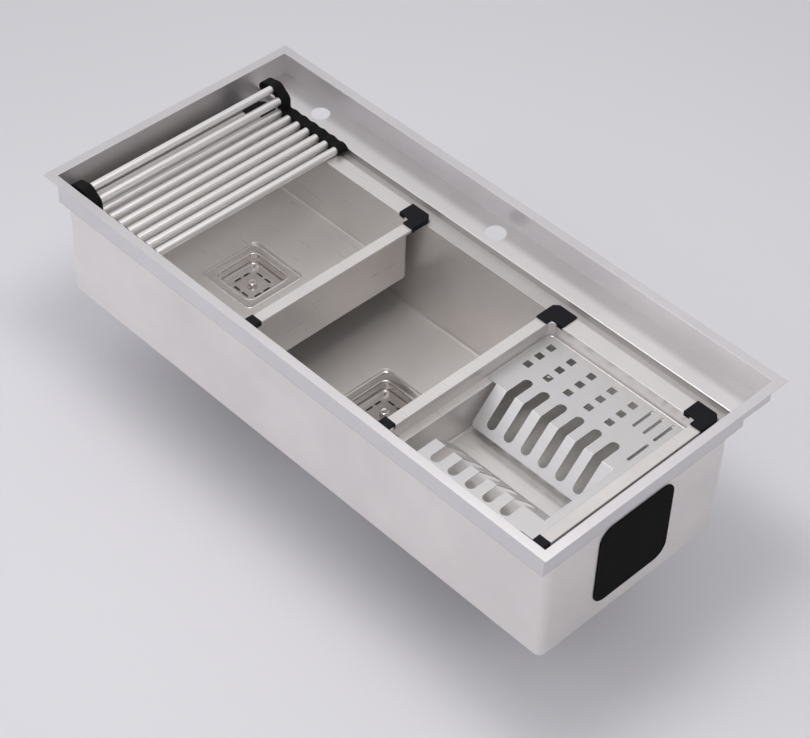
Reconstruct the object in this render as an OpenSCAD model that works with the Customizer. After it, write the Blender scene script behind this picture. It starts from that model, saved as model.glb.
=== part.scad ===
// Built-in kitchen sink with a sunken tap deck, a ledge all along its bowl and
// inserts that slide on that ledge: a deep basin, a stepped tray with a dish
// rack in it, and a roll-up rack that lies over the basin.
// Millimetres. X runs along the sink, +Y to its back, +Z up. The origin is the
// centre of the worktop cut-out, in the plane of the flange's underside.

/* [Rim and tap deck] */
// Length of the rim, left to right
rim_l = 1080; // [1060:1:1200]
// Depth of the rim, front to back
rim_w = 506; // [490:1:560]
// Width of the flat flange that lies on the worktop
flange_w = 16; // [12:1:20]
// Thickness of the sink's steel sheet
sheet = 1.2; // [0.8:0.1:1.6]
// Depth of the tap deck below the flange
deck_drop = 40; // [25:1:48]
// Width of the tap deck, front to back
deck_w = 59; // [52:1:66]
// Diameter of the tap hole
tap_hole_d = 35; // [32:0.5:38]
// Distance from the tap hole to the deck's back wall
tap_hole_back = 30; // [24:1:34]
// Diameter of the second hole, for a soap pump or a waste knob
side_hole_d = 32; // [28:0.5:36]
// Distance from the tap hole to the second hole
side_hole_x = 403; // [200:1:440]

/* [Bowl] */
// Depth of the ledge below the flange
ledge_drop = 53; // [50:1:60]
// Width of the ledge in front of the bowl
front_ledge = 13; // [10:1:16]
// Width of the ledge behind the bowl
rear_ledge = 28; // [20:1:32]
// Width of the ledge at the bowl's left end
left_ledge = 0; // [0:1:30]
// Depth of the bowl's floor below the flange
bowl_drop = 243; // [225:1:260]
// Radius of the bowl's upright corners
bowl_corner_r = 12; // [6:1:20]
// Distance from the bowl's middle to its drain, to the right
bowl_drain_x = 12.5; // [-60:0.5:60]

/* [Square drains] */
// Side of the pressed recess round each drain
recess_sq = 118; // [115:1:130]
// Corner radius of the recess
recess_r = 18; // [12:1:24]
// Depth of the recess
recess_drop = 4; // [2.5:0.5:8]
// Diameter of the round hole in the floor
floor_hole_d = 110; // [109:0.5:111]
// Side of the square well that holds the strainer
well_sq = 81; // [76:0.5:81]
// Corner radius of the well
well_r = 10; // [9:0.5:14]
// Depth from the drain's flange to the strainer's step
well_drop = 20; // [11:1:26]
// Width of the step that the strainer rests on
well_step = 5; // [3:0.5:7]
// Depth of the well below that step
well_under = 10; // [8:1:14]
// Thickness of the drain's pressed steel
drain_sheet = 1.2; // [0.8:0.1:1.5]

/* [Strainers] */
// Side clearance between a strainer and its well
strainer_clear = 0.7; // [0.4:0.1:1.5]
// Thickness of a strainer's sheet
strainer_t = 1; // [0.8:0.1:1.5]
// Height of a strainer's turned-up edge
strainer_edge = 4; // [2:0.5:6]
// Length of each long slot
strainer_slot_l = 14; // [8:0.5:16]
// Width of each long slot
strainer_slot_w = 3.6; // [2:0.1:5]
// Side of the square that the long slots lie on
strainer_slot_sq = 48; // [42:1:52]
// Diameter of a strainer's lifting knob
knob_d = 16; // [12:0.5:20]
// Height of that knob above the plate
knob_h = 7; // [6:0.5:7]

/* [Waste under the bowl] */
// Outer diameter of the waste cup
cup_d = 122; // [118:1:126]
// Wall of the waste cup
cup_wall = 3; // [2:0.5:3.5]
// Height of the waste cup
cup_h = 54; // [46:1:70]
// Thickness of the rubber gasket above the cup
gasket_t = 3; // [2:0.5:5]
// Outer diameter of the cup's threaded outlet
spigot_d = 48; // [44:0.5:52]
// Length of that outlet
spigot_h = 20; // [16:1:26]
// Diameter of the waste screw
screw_d = 6; // [5:0.5:8]
// Outer diameter of the tailpiece
tail_d = 40; // [32:0.5:41]
// Wall of the tailpiece
tail_wall = 1.5; // [1:0.1:2.5]
// Length of the tailpiece below the outlet
tail_l = 50; // [45:1:120]
// Outer diameter of the slip nut
nut_d = 60; // [56:0.5:68]
// Height of the slip nut
nut_h = 22; // [18:0.5:25]

/* [Sound pads] */
// Length of a pad on an end wall
pad_l = 155; // [100:1:240]
// Height of a pad on an end wall
pad_h = 155; // [100:1:160]
// Corner radius of those pads
pad_r = 25; // [10:1:40]
// Thickness of every pad
pad_t = 2; // [1:0.5:4]
// Length of each pad under the floor
floor_pad_l = 300; // [150:1:340]
// Width of each pad under the floor
floor_pad_w = 240; // [120:1:300]

/* [Inserts] */
// Gap from the sink's front wall to an insert
insert_front_gap = 3; // [2:0.5:5]
// Gap from the deck's front wall to an insert
insert_rear_gap = 15; // [4:0.5:16]
// Thickness of the inserts' sheet
insert_sheet = 1; // [0.8:0.1:1.5]
// Width of the bars along an insert's two sides
side_bar = 20; // [14:1:26]
// Height of an insert's bars above the ledge
bar_rise = 6; // [5:0.5:9]
// Height of the lip turned down at a bar's outer edge
bar_lip = 4; // [2:0.5:4.5]
// Radius of the inserts' upright corners
insert_r = 10; // [6:1:14]

/* [Basin] */
// Length of the basin's rim, left to right
basin_l = 400; // [340:1:410]
// Gap from the sink's left wall to the basin's rim
basin_inset = 26; // [20:1:34]
// Width of the basin's front bar
basin_front_bar = 18; // [12:1:28]
// Width of the basin's back bar
basin_rear_bar = 29; // [20:1:40]
// Depth of the basin's floor below the flange
basin_drop = 165; // [120:1:185]
// Offset of the basin's drain to the right of its middle
basin_drain_x = 11; // [-60:1:60]
// Offset of the basin's drain to the front of its middle
basin_drain_y = 6; // [-40:1:40]

/* [Tray] */
// Length of the tray's rim, left to right
tray_l = 323; // [310:1:360]
// Gap from the sink's right wall to the tray's rim
tray_inset = 29; // [24:1:40]
// Width of the tray's front bar
tray_front_bar = 28; // [16:1:34]
// Width of the tray's back bar
tray_rear_bar = 31; // [20:1:40]
// Depth of the tray's step below the flange
tray_step_drop = 74; // [64:1:90]
// Width of that step
tray_step = 13; // [8:1:16]
// Depth of the tray's floor below the flange
tray_drop = 140; // [136:1:180]

/* [Corner clips] */
// Length of each leg of a clip
clip_leg = 44; // [30:1:60]
// Thickness of the clip over the bar
clip_cover = 3; // [1.5:0.5:5]
// Thickness of the clip round the bar's outer edge
clip_wrap = 1.6; // [1:0.1:1.9]
// Size of the clip's cut-off outer corner
clip_chamfer = 8; // [3:0.5:12]

/* [Dish rack] */
// Thickness of the rack's sheet
rack_t = 1.2; // [0.8:0.1:2]
// Gap between the rack and the tray's walls
rack_gap = 3; // [1.5:0.5:4]
// Width of the flat behind the plate window
rack_rear_w = 135; // [130:1:145]
// Width of the flat in front of the plate window
rack_front_w = 53; // [46:1:60]
// Width of the flat at the window's right end
rack_wing_w = 25; // [20:1:27]
// Inset of the back flap from the rack's left end
rear_flap_inset = 18; // [8:1:30]
// Inset of the front flat from the rack's left end
front_flat_inset = 37; // [28:1:44]
// Slope of the two flaps
flap_angle = 46; // [40:1:47]
// Length of the back flap down its slope
rear_flap_l = 72; // [55:1:73]
// Length of the front flap down its slope
front_flap_l = 60; // [45:1:64]
// Width of a plate slot
slot_w = 17; // [10:0.5:20]
// Spacing of the plate slots
slot_pitch = 34.5; // [30:0.5:34.5]
// Number of plate slots at the back
rear_slots = 6; // [4:1:6]
// Length of a back slot on the flat
rear_slot_flat = 42; // [25:1:44]
// Length of a front slot on the flat
front_slot_flat = 35; // [20:1:38]
// Steel left between a slot's end and the flap's lower edge
slot_end = 11; // [8:1:16]
// Side of the square drain holes
square_hole = 12.5; // [8:0.5:16]
// Spacing of those holes along the sink
square_pitch_x = 41; // [30:0.5:41]
// Spacing of those holes front to back
square_pitch_y = 25; // [20:0.5:26]
// Width of a knife slit
slit_w = 5; // [4.5:0.1:6]
// Length of a knife slit
slit_l = 45; // [30:1:48]
// Spacing of the knife slits
slit_pitch = 20; // [16:0.5:20]

/* [Roll-up rack] */
// Diameter of a tube
tube_d = 13.6; // [12:0.1:14]
// Wall of a tube
tube_wall = 0.8; // [0.5:0.1:1.5]
// Spacing of the tubes along the strips
tube_pitch = 22.4; // [20:0.1:24]
// Number of tubes that lie flat
flat_tubes = 7; // [5:1:7]
// Number of tubes in the raised end
raised_tubes = 2; // [1:1:2]
// Height of the rubber strips
strip_h = 16; // [15.5:0.5:18]
// Width of the rubber strips, front to back
strip_w = 19; // [16:0.5:19]
// Depth that a tube's end enters its strip
tube_grip = 13; // [8:0.5:14]
// Radius of the raised end, to the tubes' centres
arch_r = 26; // [25:0.5:27]
// Distance from the basin's left clips to the first tube that lies flat
first_tube_gap = 6.8; // [6.5:0.1:12]

/* [Hidden] */
$fn = 64;

// Overrun of every cut past the face that it starts from
overrun = 1;
// Clearance between pieces that only rest on or slide past each other
rest_gap = 0.3;

// Colours, as the photograph shows them
steel = [0.80, 0.79, 0.79];
bright_steel = [0.87, 0.86, 0.85];
black_rubber = [0.08, 0.08, 0.09];
grey_plastic = [0.55, 0.56, 0.58];

// Sink: half sizes of the opening inside the flange, and the main levels
open_x = rim_l / 2 - flange_w;
open_y = rim_w / 2 - flange_w;
rim_top = sheet;
deck_z = rim_top - deck_drop;
ledge_z = rim_top - ledge_drop;
floor_z = rim_top - bowl_drop;
deck_y = open_y - deck_w;
tap_y = open_y - tap_hole_back;

// Bowl: inside faces
bowl_x0 = -open_x + left_ledge;
bowl_x1 = open_x;
bowl_y0 = -open_y + front_ledge;
bowl_y1 = deck_y - rear_ledge;
drain_x = (bowl_x0 + bowl_x1) / 2 + bowl_drain_x;
drain_y = (bowl_y0 + bowl_y1) / 2;

// Drain, measured down from the top of the floor that it is fitted in
well_wall_sq = well_sq + 2 * drain_sheet;
lower_sq = well_sq - 2 * well_step;
lower_wall_sq = lower_sq + 2 * drain_sheet;
lower_r = well_r - well_step;
flange_fit = 0.2;
flange_top_drop = recess_drop - drain_sheet;
step_drop = flange_top_drop + well_drop;
base_drop = step_drop + well_under;
base_hole_d = 20;
base_hole_r = lower_sq / 4;
screw_clear = 0.3;

// Strainer
strainer_sq = well_sq - 2 * strainer_clear;
strainer_r = well_r - strainer_clear;
strainer_drop = step_drop - rest_gap;
strainer_hole_d = 4;
strainer_slot_bar = 5;
slot_round_share = 0.48;
strainer_slot_gap = strainer_slot_l + strainer_slot_bar;
knob_neck_d = knob_d / 2;
knob_cap_h = knob_h / 2;

// Waste cup, gasket and outlet
cup_top_z = floor_z - recess_drop - sheet - gasket_t;
cup_base_z = cup_top_z - cup_h;
boss_wall = 4;
boss_d = screw_d + 2 * boss_wall;
boss_rib = 3;
boss_h = 14;
spigot_wall = 3;
spigot_end_z = cup_base_z - spigot_h;
screw_head_d = 2 * screw_d;
screw_head_h = 4;
screw_end_z = cup_base_z + 2 * boss_rib;
nut_fit = 0.3;
nut_lip = 3;
tail_collar_d = spigot_d - 1;
tail_collar_t = 2.5;
tail_shoulder_d = tail_d + 3;
tail_shoulder_end = 1;

// Pads on the end walls and under the floor
pad_from_front = 193;
pad_drop = 134;
pad_y = -open_y + pad_from_front;
pad_z = rim_top - pad_drop;
floor_pad_gap = 30;

// Inserts: front and back of their rims, and the level of their bars
insert_y0 = -open_y + insert_front_gap;
insert_y1 = deck_y - insert_rear_gap;
clip_z0 = ledge_z + rest_gap;
bar_top = clip_z0 + bar_rise;
clip_z1 = bar_top + clip_cover;

// Basin and tray: ends of their rims, and their floors
basin_x0 = -open_x + basin_inset;
basin_x1 = basin_x0 + basin_l;
basin_floor = rim_top - basin_drop;
basin_in = [basin_x0 + side_bar, basin_x1 - side_bar,
            insert_y0 + basin_front_bar, insert_y1 - basin_rear_bar];
basin_hole_x = (basin_in[0] + basin_in[1]) / 2 + basin_drain_x;
basin_hole_y = (basin_in[2] + basin_in[3]) / 2 - basin_drain_y;
tray_x1 = open_x - tray_inset;
tray_x0 = tray_x1 - tray_l;
tray_step_z = rim_top - tray_step_drop;
tray_floor = rim_top - tray_drop;
tray_in = [tray_x0 + side_bar, tray_x1 - side_bar,
           insert_y0 + tray_front_bar, insert_y1 - tray_rear_bar];
tray_low = [tray_in[0] + tray_step, tray_in[1] - tray_step,
            tray_in[2] + tray_step, tray_in[3] - tray_step];

// Dish rack: its outline, the two bends and the slots
rack_x0 = tray_in[0] + rack_gap;
rack_x1 = tray_in[1] - rack_gap;
rack_y0 = tray_in[2] + rack_gap;
rack_y1 = tray_in[3] - rack_gap;
rack_z0 = tray_step_z + rest_gap;
rear_bend_y = rack_y1 - rack_rear_w;
front_bend_y = rack_y0 + rack_front_w;
wing_x = rack_x1 - rack_wing_w;
rear_flap_x = rack_x0 + rear_flap_inset;
front_flat_x = rack_x0 + front_flat_inset;
flap_cut = 1;
first_slot = 30;
slot_x = rear_flap_x + first_slot;
square_cols = 5;
square_rows = 3;
square_edge = 20;
slit_count = 3;
slit_edge = 6;
low_slit_share = 1.75;
slot_lap = 2 * rack_t;

// Roll-up rack: the strips' level and the arch of the raised end
strip_z0 = bar_top + rest_gap;
tube_z = strip_z0 + strip_h / 2;
strip_wall_gap = 1.6;
strip_rear_y1 = deck_y - strip_wall_gap;
strip_front_y0 = insert_y0;
strip_rear_y0 = strip_rear_y1 - strip_w;
strip_front_y1 = strip_front_y0 + strip_w;
arch_dip_share = 0.7;
arch_low = asin(tube_d * arch_dip_share / arch_r);
arch_step = 2 * asin(tube_pitch / 2 / arch_r);
arch_cz = tube_z + arch_r * sin(arch_low);
first_tube_x = basin_x0 - clip_wrap + clip_leg + first_tube_gap;
arch_cx = first_tube_x - arch_r * cos(arch_low);
arch_end = 140;
strip_right = first_tube_x + (flat_tubes - 1) * tube_pitch + tube_pitch / 2;
tube_fit = 0.1;
tube_y0 = strip_front_y1 - tube_grip;
tube_y1 = strip_rear_y0 + tube_grip;

// Box between two corners
module box(x0, x1, y0, y1, z0, z1) {
    translate([x0, y0, z0])
        cube([x1 - x0, y1 - y0, z1 - z0]);
}

// Rounded rectangle centred on the origin
module rounded_rect(l, w, r) {
    square([l - 2 * r, w], center = true);
    square([l, w - 2 * r], center = true);
    for (x = [-1, 1], y = [-1, 1])
        translate([x * (l / 2 - r), y * (w / 2 - r)])
            circle(r = r);
}

// Upright prism with rounded corners, over the rectangle b = [x0, x1, y0, y1]
// grown by g on every side
module rounded_prism(b, g, r, z0, z1) {
    translate([(b[0] + b[1]) / 2, (b[2] + b[3]) / 2, z0])
        linear_extrude(z1 - z0)
            rounded_rect(b[1] - b[0] + 2 * g, b[3] - b[2] + 2 * g, r + g);
}

// Upright square prism with rounded corners at a drain's centre
module square_prism(x, y, side, r, z0, z1) {
    translate([x, y, z0])
        linear_extrude(z1 - z0)
            rounded_rect(side, side, r);
}

// Solid that thickens a floor of thickness t for the recess round a drain
module recess_body(x, y, top, t) {
    square_prism(x, y, recess_sq + 2 * t, recess_r + t, top - recess_drop - t, top);
}

// What the recess and the round hole take out of that floor
module recess_void(x, y, top, t) {
    square_prism(x, y, recess_sq, recess_r, top - recess_drop, top + overrun);
    translate([x, y, top - recess_drop - t - overrun])
        cylinder(d = floor_hole_d, h = t + 2 * overrun);
}

// Flange ring on the worktop with the upright walls down to the deck and ledge
module rim_frame() {
    color(bright_steel) {
        difference() {
            box(-rim_l / 2, rim_l / 2, -rim_w / 2, rim_w / 2, 0, rim_top);
            box(-open_x, open_x, -open_y, open_y, -overrun, rim_top + overrun);
        }
        difference() {
            union() {
                box(-open_x - sheet, open_x + sheet, -open_y - sheet, open_y + sheet, deck_z, 0);
                box(-open_x - sheet, open_x + sheet, -open_y - sheet, deck_y, ledge_z, 0);
            }
            box(-open_x, open_x, -open_y, open_y, ledge_z - overrun, overrun);
        }
    }
}

// Sunken deck for the tap, with its front wall down to the ledge
module tap_deck() {
    color(steel)
        difference() {
            union() {
                box(-open_x - sheet, open_x + sheet, deck_y, open_y + sheet, deck_z - sheet, deck_z);
                box(-open_x - sheet, open_x + sheet, deck_y, deck_y + sheet, ledge_z, deck_z);
            }
            translate([0, tap_y, deck_z - sheet - overrun])
                cylinder(d = tap_hole_d, h = sheet + 2 * overrun);
            translate([-side_hole_x, tap_y, deck_z - sheet - overrun])
                cylinder(d = side_hole_d, h = sheet + 2 * overrun);
        }
}

// Bowl with the ledge turned out at its top
module bowl() {
    b = [bowl_x0, bowl_x1, bowl_y0, bowl_y1];
    color(steel)
        difference() {
            union() {
                box(-open_x - sheet, open_x + sheet, -open_y - sheet, deck_y + sheet,
                    ledge_z - sheet, ledge_z);
                rounded_prism(b, sheet, bowl_corner_r, floor_z - sheet, ledge_z);
                recess_body(drain_x, drain_y, floor_z, sheet);
            }
            rounded_prism(b, 0, bowl_corner_r, floor_z, ledge_z + overrun);
            recess_void(drain_x, drain_y, floor_z, sheet);
        }
}

// Pressed square drain, for a floor whose top is at the level top
module square_drain(x, y, top) {
    difference() {
        union() {
            square_prism(x, y, recess_sq - 2 * flange_fit, recess_r - flange_fit,
                         top - recess_drop, top - flange_top_drop);
            square_prism(x, y, well_wall_sq, well_r + drain_sheet,
                         top - step_drop - drain_sheet, top - flange_top_drop);
            square_prism(x, y, lower_wall_sq, lower_r + drain_sheet,
                         top - base_drop - drain_sheet, top - step_drop);
        }
        square_prism(x, y, well_sq, well_r, top - step_drop, top);
        square_prism(x, y, lower_sq, lower_r, top - base_drop, top - step_drop + overrun);
        translate([x, y, top - base_drop - drain_sheet - overrun]) {
            cylinder(d = screw_d + 2 * screw_clear, h = drain_sheet + 2 * overrun);
            for (sx = [-1, 1], sy = [-1, 1])
                translate([sx * base_hole_r, sy * base_hole_r])
                    cylinder(d = base_hole_d, h = drain_sheet + 2 * overrun);
        }
    }
}

module drain_flange() {
    color(bright_steel)
        square_drain(drain_x, drain_y, floor_z);
}

// Rubber ring between the bowl's floor and the waste cup
module drain_gasket() {
    color(black_rubber)
        translate([drain_x, drain_y, cup_top_z])
            difference() {
                cylinder(d = cup_d, h = gasket_t);
                translate([0, 0, -overrun])
                    cylinder(d = floor_hole_d, h = gasket_t + 2 * overrun);
            }
}

// Moulded cup that collects the water, with a boss for the waste screw
module waste_cup() {
    inner_d = cup_d - 2 * cup_wall;
    bore_d = spigot_d - 2 * spigot_wall;
    color(grey_plastic)
        translate([drain_x, drain_y, cup_base_z])
            difference() {
                union() {
                    difference() {
                        union() {
                            cylinder(d = cup_d, h = cup_h);
                            translate([0, 0, -spigot_h])
                                cylinder(d = spigot_d, h = spigot_h + cup_wall);
                        }
                        translate([0, 0, cup_wall])
                            cylinder(d = inner_d, h = cup_h);
                        translate([0, 0, -spigot_h - overrun])
                            cylinder(d = bore_d, h = spigot_h + cup_wall + 2 * overrun);
                    }
                    cylinder(d = boss_d, h = boss_h);
                    for (a = [0, 90])
                        rotate([0, 0, a])
                            translate([-spigot_d / 2 + spigot_wall / 2, -boss_rib / 2, 0])
                                cube([spigot_d - spigot_wall, boss_rib, 2 * boss_rib]);
                }
                translate([0, 0, boss_rib])
                    cylinder(d = screw_d, h = boss_h);
            }
}

// Screw that pulls the drain flange and the waste cup together
module waste_screw() {
    head_z = floor_z - base_drop;
    color(bright_steel)
        translate([drain_x, drain_y]) {
            translate([0, 0, head_z])
                difference() {
                    cylinder(d = screw_head_d, h = screw_head_h);
                    translate([-screw_head_d / 2 - overrun, -screw_head_h / 4, screw_head_h / 2])
                        cube([screw_head_d + 2 * overrun, screw_head_h / 2, screw_head_h]);
                }
            translate([0, 0, screw_end_z])
                cylinder(d = screw_d, h = head_z - screw_end_z);
        }
}

// Nut that clamps the tailpiece's collar against the cup's outlet
module slip_nut() {
    top_z = spigot_end_z + nut_h - nut_lip - tail_collar_t;
    color(grey_plastic)
        translate([drain_x, drain_y, top_z - nut_h])
            difference() {
                cylinder(d = nut_d, h = nut_h);
                translate([0, 0, nut_lip])
                    cylinder(d = spigot_d + 2 * nut_fit, h = nut_h);
                translate([0, 0, -overrun])
                    cylinder(d = tail_shoulder_d + 2 * nut_fit, h = nut_h);
                for (a = [0:30:330])
                    rotate([0, 0, a])
                        translate([nut_d / 2, 0, -overrun])
                            cylinder(d = 2 * nut_lip, h = nut_h + 2 * overrun);
            }
}

// Straight outlet pipe with the collar that the nut holds and the shoulder that
// fills the nut's mouth
module tailpiece() {
    shoulder_h = tail_collar_t + nut_lip + tail_shoulder_end;
    color(grey_plastic)
        translate([drain_x, drain_y, spigot_end_z - tail_l])
            difference() {
                union() {
                    cylinder(d = tail_d, h = tail_l);
                    translate([0, 0, tail_l - shoulder_h])
                        cylinder(d = tail_shoulder_d, h = shoulder_h);
                    translate([0, 0, tail_l - tail_collar_t])
                        cylinder(d = tail_collar_d, h = tail_collar_t);
                }
                translate([0, 0, -overrun])
                    cylinder(d = tail_d - 2 * tail_wall, h = tail_l + 2 * overrun);
            }
}

// Pad standing against an end wall, its inner face at x
module end_pad(x) {
    color(black_rubber)
        translate([x, pad_y, pad_z])
            rotate([90, 0, 90])
                linear_extrude(pad_t)
                    rounded_rect(pad_l, pad_h, pad_r);
}

module sound_pad_right() {
    end_pad(bowl_x1 + sheet);
}

module sound_pad_left() {
    end_pad(bowl_x0 - sheet - pad_t);
}

// Two pads under the floor, one on each side of the drain
module sound_pads_floor() {
    off = recess_sq / 2 + floor_pad_gap + floor_pad_l / 2;
    color(black_rubber)
        for (s = [-1, 1])
            translate([drain_x + s * off, drain_y, floor_z - sheet - pad_t])
                linear_extrude(pad_t)
                    rounded_rect(floor_pad_l, floor_pad_w, pad_r);
}

// Square strainer with a turned-up edge, for a floor whose top is at top
module strainer(x, y, top) {
    z0 = top - strainer_drop;
    slot_off = strainer_slot_sq / 2;
    hole_off = strainer_sq / 2 - strainer_r;
    difference() {
        square_prism(x, y, strainer_sq, strainer_r, z0, z0 + strainer_edge);
        square_prism(x, y, strainer_sq - 2 * strainer_t, strainer_r - strainer_t,
                     z0 + strainer_t, z0 + strainer_edge + overrun);
        translate([x, y, z0 - overrun]) {
            for (a = [0:90:270], s = [-1, 1])
                rotate([0, 0, a])
                    translate([slot_off, s * strainer_slot_gap / 2, 0])
                        linear_extrude(strainer_t + 2 * overrun)
                            rounded_rect(strainer_slot_w, strainer_slot_l,
                                         strainer_slot_w * slot_round_share);
            for (sx = [-1, 1], sy = [-1, 1])
                translate([sx * hole_off, sy * hole_off])
                    cylinder(d = strainer_hole_d, h = strainer_t + 2 * overrun);
            cylinder(d = knob_neck_d, h = strainer_t + 2 * overrun);
        }
    }
}

// Lifting knob, riveted through a strainer's middle
module strainer_grip(x, y, top) {
    z0 = top - strainer_drop;
    translate([x, y, z0]) {
        cylinder(d = knob_neck_d, h = strainer_t + knob_h - knob_cap_h);
        translate([0, 0, strainer_t + knob_h - knob_cap_h])
            cylinder(d = knob_d, h = knob_cap_h);
    }
}

module strainer_plate() {
    color(bright_steel)
        strainer(drain_x, drain_y, floor_z);
}

module strainer_knob() {
    color(bright_steel)
        strainer_grip(drain_x, drain_y, floor_z);
}

module basin_strainer_plate() {
    color(bright_steel)
        strainer(basin_hole_x, basin_hole_y, basin_floor);
}

module basin_strainer_knob() {
    color(bright_steel)
        strainer_grip(basin_hole_x, basin_hole_y, basin_floor);
}

// Bars round an insert with their turned-down outer lip; in_b is the inside
module insert_rim(x0, x1, in_b) {
    difference() {
        box(x0, x1, insert_y0, insert_y1, bar_top - insert_sheet - bar_lip, bar_top);
        box(x0 + insert_sheet, x1 - insert_sheet, insert_y0 + insert_sheet,
            insert_y1 - insert_sheet, bar_top - insert_sheet - bar_lip - overrun,
            bar_top - insert_sheet);
        rounded_prism(in_b, 0, insert_r, bar_top - insert_sheet - overrun, bar_top + overrun);
    }
}

// Deep basin: bars, four walls and a floor with its drain recess
module basin_shell() {
    color(steel)
        difference() {
            union() {
                insert_rim(basin_x0, basin_x1, basin_in);
                rounded_prism(basin_in, insert_sheet, insert_r,
                              basin_floor - insert_sheet, bar_top);
                recess_body(basin_hole_x, basin_hole_y, basin_floor, insert_sheet);
            }
            rounded_prism(basin_in, 0, insert_r, basin_floor, bar_top + overrun);
            recess_void(basin_hole_x, basin_hole_y, basin_floor, insert_sheet);
        }
}

module basin_drain_flange() {
    color(bright_steel)
        square_drain(basin_hole_x, basin_hole_y, basin_floor);
}

// Stepped tray: bars, upper walls, a step all round, lower walls and a floor
module tray_shell() {
    color(steel)
        difference() {
            union() {
                insert_rim(tray_x0, tray_x1, tray_in);
                rounded_prism(tray_in, insert_sheet, insert_r,
                              tray_step_z - insert_sheet, bar_top);
                rounded_prism(tray_low, insert_sheet, insert_r,
                              tray_floor - insert_sheet, tray_step_z);
            }
            rounded_prism(tray_in, 0, insert_r, tray_step_z, bar_top + overrun);
            rounded_prism(tray_low, 0, insert_r, tray_floor, tray_step_z + overrun);
        }
}

// Corner clip over the bars at the corner (x, y) of an insert. sx and sy point
// outwards; bar_x and bar_y are the widths of the side bar and the other bar
module clip_block(x, y, sx, sy, bar_x, bar_y) {
    translate([x + sx * clip_wrap, y + sy * clip_wrap, clip_z0])
        mirror([sx > 0 ? 1 : 0, 0, 0])
            mirror([0, sy > 0 ? 1 : 0, 0])
                linear_extrude(clip_z1 - clip_z0)
                    polygon([[clip_chamfer, 0], [clip_leg, 0],
                             [clip_leg, bar_y + clip_wrap],
                             [bar_x + clip_wrap, bar_y + clip_wrap],
                             [bar_x + clip_wrap, clip_leg], [0, clip_leg],
                             [0, clip_chamfer]]);
}

// The four clips of one insert, cut to fit round its bars and walls
module clips(x0, x1, in_b, front_bar, rear_bar) {
    color(black_rubber)
        difference() {
            for (sx = [-1, 1], sy = [-1, 1])
                clip_block(sx < 0 ? x0 : x1, sy < 0 ? insert_y0 : insert_y1, sx, sy,
                           side_bar, sy < 0 ? front_bar : rear_bar);
            insert_rim(x0, x1, in_b);
            rounded_prism(in_b, insert_sheet, insert_r, clip_z0 - overrun, bar_top);
            rounded_prism(in_b, 0, insert_r, bar_top - overrun, clip_z1 + overrun);
        }
}

module basin_clips() {
    clips(basin_x0, basin_x1, basin_in, basin_front_bar, basin_rear_bar);
}

module tray_clips() {
    clips(tray_x0, tray_x1, tray_in, tray_front_bar, tray_rear_bar);
}

// Flap of length len from x0 to x1, bent down from the rack's flat at its origin
module flap(x0, x1, len) {
    lap = 4 * rack_t;
    fold = rack_t * tan(flap_angle / 2);
    run = len * cos(flap_angle);
    drop = len * sin(flap_angle);
    translate([x0, 0, 0])
        rotate([90, 0, 90])
            linear_extrude(x1 - x0)
                polygon([[-lap, 0], [-fold, 0], [run - fold, -drop],
                         [run - fold + rack_t * sin(flap_angle), rack_t * cos(flap_angle) - drop],
                         [0, rack_t], [-lap, rack_t]]);
}

// Outline of a slot from y0 to its round end at y1
module slot_outline(y0, y1) {
    translate([-slot_w / 2, y0])
        square([slot_w, y1 - slot_w / 2 - y0]);
    translate([0, y1 - slot_w / 2])
        circle(d = slot_w);
}

// Slot through the flat and on down the flap, with a round end at each end
module plate_slot(flat_l, flap_l) {
    translate([0, 0, -overrun])
        linear_extrude(rack_t + 2 * overrun)
            rotate([0, 0, 180])
                slot_outline(-slot_lap, flat_l);
    rotate([-flap_angle, 0, 0])
        translate([0, 0, -overrun])
            linear_extrude(rack_t + 2 * overrun)
                slot_outline(-slot_lap, flap_l - slot_end);
}

// Dish rack: a flat with square drain holes and knife slits, open at its left
// end, and two slotted flaps bent down from the window between them
module dish_rack() {
    square_x = rack_x0 + square_edge;
    square_y = rack_y1 - square_edge;
    slit_y = rack_y1 - slit_edge;
    color(bright_steel)
        translate([0, 0, rack_z0])
            difference() {
                union() {
                    difference() {
                        rounded_prism(tray_in, -rack_gap, insert_r, 0, rack_t);
                        box(rack_x0 - overrun, wing_x, front_bend_y, rear_bend_y,
                            -overrun, rack_t + overrun);
                        box(rack_x0 - overrun, front_flat_x, rack_y0 - overrun, rear_bend_y,
                            -overrun, rack_t + overrun);
                    }
                    translate([0, rear_bend_y, 0])
                        mirror([0, 1, 0])
                            flap(rear_flap_x, wing_x - flap_cut, rear_flap_l);
                    translate([0, front_bend_y, 0])
                        flap(front_flat_x, wing_x - flap_cut, front_flap_l);
                }
                for (i = [0:rear_slots - 1])
                    translate([slot_x + i * slot_pitch, rear_bend_y, 0])
                        mirror([0, 1, 0])
                            plate_slot(rear_slot_flat, rear_flap_l);
                for (i = [0:rear_slots - 2])
                    translate([slot_x + (i + 0.5) * slot_pitch, front_bend_y, 0])
                        plate_slot(front_slot_flat, front_flap_l);
                for (c = [0:square_cols - 1], r = [0:square_rows - 1])
                    translate([square_x + c * square_pitch_x, square_y - r * square_pitch_y,
                               rack_t / 2])
                        cube([square_hole, square_hole, rack_t + 2 * overrun], center = true);
                for (i = [0:slit_count - 1])
                    translate([wing_x - i * slit_pitch, slit_y - slit_l / 2, rack_t / 2])
                        cube([slit_w, slit_l, rack_t + 2 * overrun], center = true);
                translate([wing_x, slit_y - slit_l * low_slit_share, rack_t / 2])
                    cube([slit_w, slit_l, rack_t + 2 * overrun], center = true);
            }
}

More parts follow.
